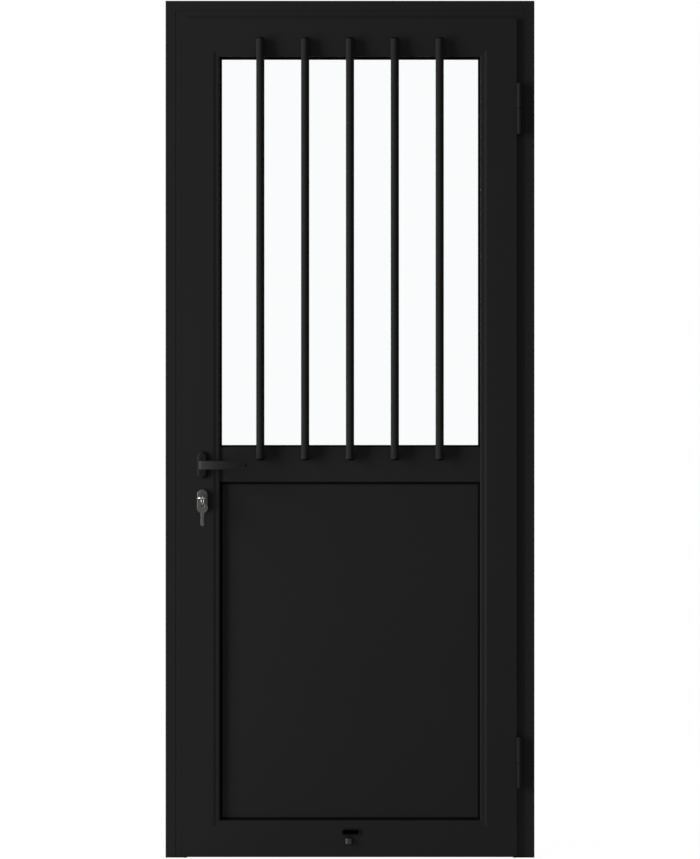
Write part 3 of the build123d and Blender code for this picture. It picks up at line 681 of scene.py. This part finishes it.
# %% The bowl of one dome
dome_height = 0.0022
dome_bite = 0.0003
dome_steps = 32
climb = np.radians([0.0, 0.0, 25.0, 50.0, 75.0])
bar_boxes = np.array([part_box(node) for node in frame["nodes"] if node.startswith("guard_bar")])
bar_radius = (bar_boxes[:, 1, 0] - bar_boxes[:, 0, 0]).mean() / 2
dome_rise = dome_height * np.sin(climb)
dome_rise[0] -= dome_bite
dome_reach = bar_radius * np.cos(climb)[:, None]
dome_turn = np.linspace(0.0, 2.0 * np.pi, dome_steps, endpoint=False)
bowl_x = dome_reach * np.cos(dome_turn)
bowl_y = dome_reach * np.sin(dome_turn)
bowl_z = dome_rise[:, None] * np.ones_like(dome_turn)
bowl = np.stack([bowl_x, bowl_y, bowl_z], axis=-1)
print("bars", len(bar_boxes), "radius", round(1000 * bar_radius, 1), "mm")

# %% Domes at both ends of each bar
dome_fold = 50.0
cap_low, cap_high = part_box("bar_end_caps")
end_heights = [cap_low[2], cap_high[2]]
end_ways = [-1.0, 1.0]
dome_feet = np.repeat(bar_boxes.mean(axis=1), len(end_heights), axis=0)
dome_feet[:, 2] = np.tile(end_heights, len(bar_boxes))
dome_ways = np.ones_like(dome_feet)
dome_ways[:, 2] = np.tile(end_ways, len(bar_boxes))
points = dome_feet[:, None, None, :] + dome_ways[:, None, None, :] * bowl
first_point = climb.size * dome_steps * np.arange(len(dome_feet))[:, None, None]
dome_sides = (quads(climb.size, dome_steps, False) + first_point).reshape(-1, 4).tolist()
dome_ends = (end_faces(climb.size, dome_steps) + first_point).reshape(-1, dome_steps).tolist()
domes = make_piece("bar_cap_domes", points, dome_sides + dome_ends, plastic, dome_fold)
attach(domes, "leaf")

# %% [markdown]
# ## Brush under the leaf
# A strip of nylon bristles closes the gap to the floor. A comb of thin three-sided spikes, each
# with its own lean and length, reads as bristle at any distance; a hair system would look the same
# and couldn't be exported as a mesh.

# %% Roots and tips of the bristles
brush_low, brush_high = corners_of("bottom_brush")
holder_height = 0.007
bristle_count = 900
rows_deep = 3
row_reach = 0.0006
end_margin = 0.001
uneven = 0.0012
lean_along = 0.0007
lean_across = 0.0005
bristle_seed = 7
chance = np.random.default_rng(bristle_seed)
along = np.linspace(brush_low[0] + end_margin, brush_high[0] - end_margin, bristle_count)
deep = (brush_low[1] + brush_high[1]) / 2 + np.linspace(-row_reach, row_reach, rows_deep)
root_x, root_y = (grid.ravel() for grid in np.meshgrid(along, deep, indexing="ij"))
root_z = np.full_like(root_x, brush_high[2] - holder_height / 2)
tip_z = brush_low[2] + chance.uniform(0.0, uneven, root_x.size)
tip_x = root_x + chance.normal(0.0, lean_along, root_x.size)
tip_x = np.clip(tip_x, brush_low[0], brush_high[0])
tip_y = root_y + chance.normal(0.0, lean_across, root_x.size)
print("bristles", root_x.size)

# %% Spikes from root to tip
root_radius = 0.00028
tip_radius = 0.00014
brush_fold = 80.0
spoke = np.linspace(0.0, 2.0 * np.pi, 3, endpoint=False)
spike = np.stack([np.cos(spoke), np.sin(spoke), 0.0 * spoke], axis=-1)
roots = np.stack([root_x, root_y, root_z], axis=-1)[:, None, :] + root_radius * spike
tips = np.stack([tip_x, tip_y, tip_z], axis=-1)[:, None, :] + tip_radius * spike
hairs = np.concatenate([roots, tips], axis=1)
hair_sides = np.array([[0, 1, 4, 3], [1, 2, 5, 4], [2, 0, 3, 5]])
hair_ends = np.array([[0, 2, 1], [3, 4, 5]])
first_point = hairs.shape[1] * np.arange(len(hairs))[:, None, None]
faces = (hair_sides + first_point).reshape(-1, 4).tolist()
faces += (hair_ends + first_point).reshape(-1, 3).tolist()
brush = make_piece("brush_bristles", hairs, faces, bristle, brush_fold)
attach(brush, "leaf")

# %% [markdown]
# ## Holder of the brush
# The bristles are gripped in a drawn aluminium channel. Its section is a square U with the opening
# downwards, given as shares of the brush's depth and of the holder's height, and the channel is
# that section at both ends of the strip.

# %% Channel
wall_near = 0.35
wall_far = 0.65
channel_floor = 0.25
holder_fold = 40.0
u_shape = np.array(
    [
        [0.0, 0.0],
        [0.0, 1.0],
        [wall_near, 1.0],
        [wall_near, channel_floor],
        [wall_far, channel_floor],
        [wall_far, 1.0],
        [1.0, 1.0],
        [1.0, 0.0],
    ]
)
channel = np.stack([0.0 * u_shape[:, 0], u_shape[:, 0], 1.0 - u_shape[:, 1]], axis=-1)
span = np.array([0.0, brush_high[1] - brush_low[1], holder_height])
start = np.array([brush_low[0], brush_low[1], brush_high[2] - holder_height])
length = np.array([brush_high[0] - brush_low[0], 0.0, 0.0])
near_end = start + channel * span
points = np.stack([near_end, near_end + length])
faces = quads(2, len(u_shape), False).tolist() + end_faces(2, len(u_shape)).tolist()
holder = make_piece("brush_holder", points, faces, mill, holder_fold)
stand_for(holder, "bottom_brush", "leaf")

# %% [markdown]
# ## Floor and surroundings
# The door stands on a pale floor against white. The floor and the surroundings are white only to
# rays that show them, so they don't flood a black door with light. The floor mixes a glow with a
# plain pale surface, which keeps the shadow, and a dim surround fills the dark sides.


# %% Which rays see white
def seen(path, gloss):
    """1 for rays that show a surface straight or through glass, and `gloss` for mirrored ones."""
    kinds = ("Camera", "Transmission", "Glossy")
    straight, bent, mirrored = (Wire(path.outputs[f"Is {kind} Ray"]) for kind in kinds)
    return straight + bent + gloss * mirrored


# %% Floor
floor_near = -0.55
floor_far = 1.6
floor_half = 1.9
floor_tone = (0.5, 0.5, 0.5, 1.0)
floor_rough = 0.9
floor_gloss = 0.22
glow_strength = 1.1
glow_share = 0.88
floor_mesh = bpy.data.meshes.new("floor")
floor_corners = [
    (-floor_half, floor_near, 0.0),
    (floor_half, floor_near, 0.0),
    (floor_half, floor_far, 0.0),
    (-floor_half, floor_far, 0.0),
]
floor_mesh.from_pydata(floor_corners, [], [(0, 1, 2, 3)])
floor = bpy.data.objects.new("floor", floor_mesh)
scene.collection.objects.link(floor)

pale, pale_shader, _ = finish("pale_floor", Base_Color=floor_tone, Roughness=floor_rough)
nodes = pale.node_tree.nodes
glow = nodes.new("ShaderNodeEmission")
glow.inputs["Strength"].default_value = glow_strength
shown = seen(nodes.new("ShaderNodeLightPath"), floor_gloss)
layers = {0: glow_share * shown, 1: Wire(pale_shader.outputs[0]), 2: Wire(glow.outputs[0])}
mixed = shown.node("ShaderNodeMixShader", None, layers)
pale.node_tree.links.new(mixed.socket, nodes["Material Output"].inputs["Surface"])
floor_mesh.materials.append(pale)
print("floor", 2 * floor_half, "m wide")

# %% Surroundings
sky_gloss = 0.05
sky_fill = 0.19
surround = bpy.data.worlds.new("surround")
surround.use_nodes = True
scene.world = surround
sky = surround.node_tree.nodes
shown = seen(sky.new("ShaderNodeLightPath"), sky_gloss)
strength = sky_fill + (1.0 - sky_fill) * shown
surround.node_tree.links.new(strength.socket, sky["Background"].inputs["Strength"])
sky["Background"].inputs["Color"].default_value = (1.0, 1.0, 1.0, 1.0)
print("surround fills with", sky_fill)

# %% [markdown]
# ## Lamps
# One tall soft lamp from the left, low over the door's plane, throws the bars' shadows to the
# right as in the photograph; its height lets it shine on upright rounds near the floor too. A
# second one behind lights the inside. It hangs high, so that the pane doesn't mirror it to a level
# view, and far enough round that it lights nothing that the front view shows.

# %% Soft lamps
lamp_width = 2.3
lamp_distance = 6.5
lamp_angle = math.radians(22.5)
behind_turn = math.radians(-82.5)


def soft_lamp(name, turn_round, height, rise, watts):
    """A lamp on the bearing left + lamp_angle + turn_round, aimed at the door's middle."""
    light = bpy.data.lights.new(name, "AREA")
    light.shape = "RECTANGLE"
    light.size = lamp_width
    light.size_y = height
    light.energy = watts
    lamp = bpy.data.objects.new(name, light)
    bearing = math.pi + lamp_angle + turn_round
    lamp.location = (
        lamp_distance * math.cos(bearing),
        lamp_distance * math.sin(bearing),
        camera_height + rise,
    )
    aim = -lamp.location
    aim.z += camera_height
    lamp.rotation_euler = aim.to_track_quat("-Z", "Y").to_euler()
    scene.collection.objects.link(lamp)
    print(name, "at", [round(v, 2) for v in lamp.location])


soft_lamp("key", 0.0, height=6.0, rise=0.4, watts=540.0)
soft_lamp("behind", behind_turn, height=2.4, rise=4.2, watts=300.0)
scene.view_settings.view_transform = "Standard"
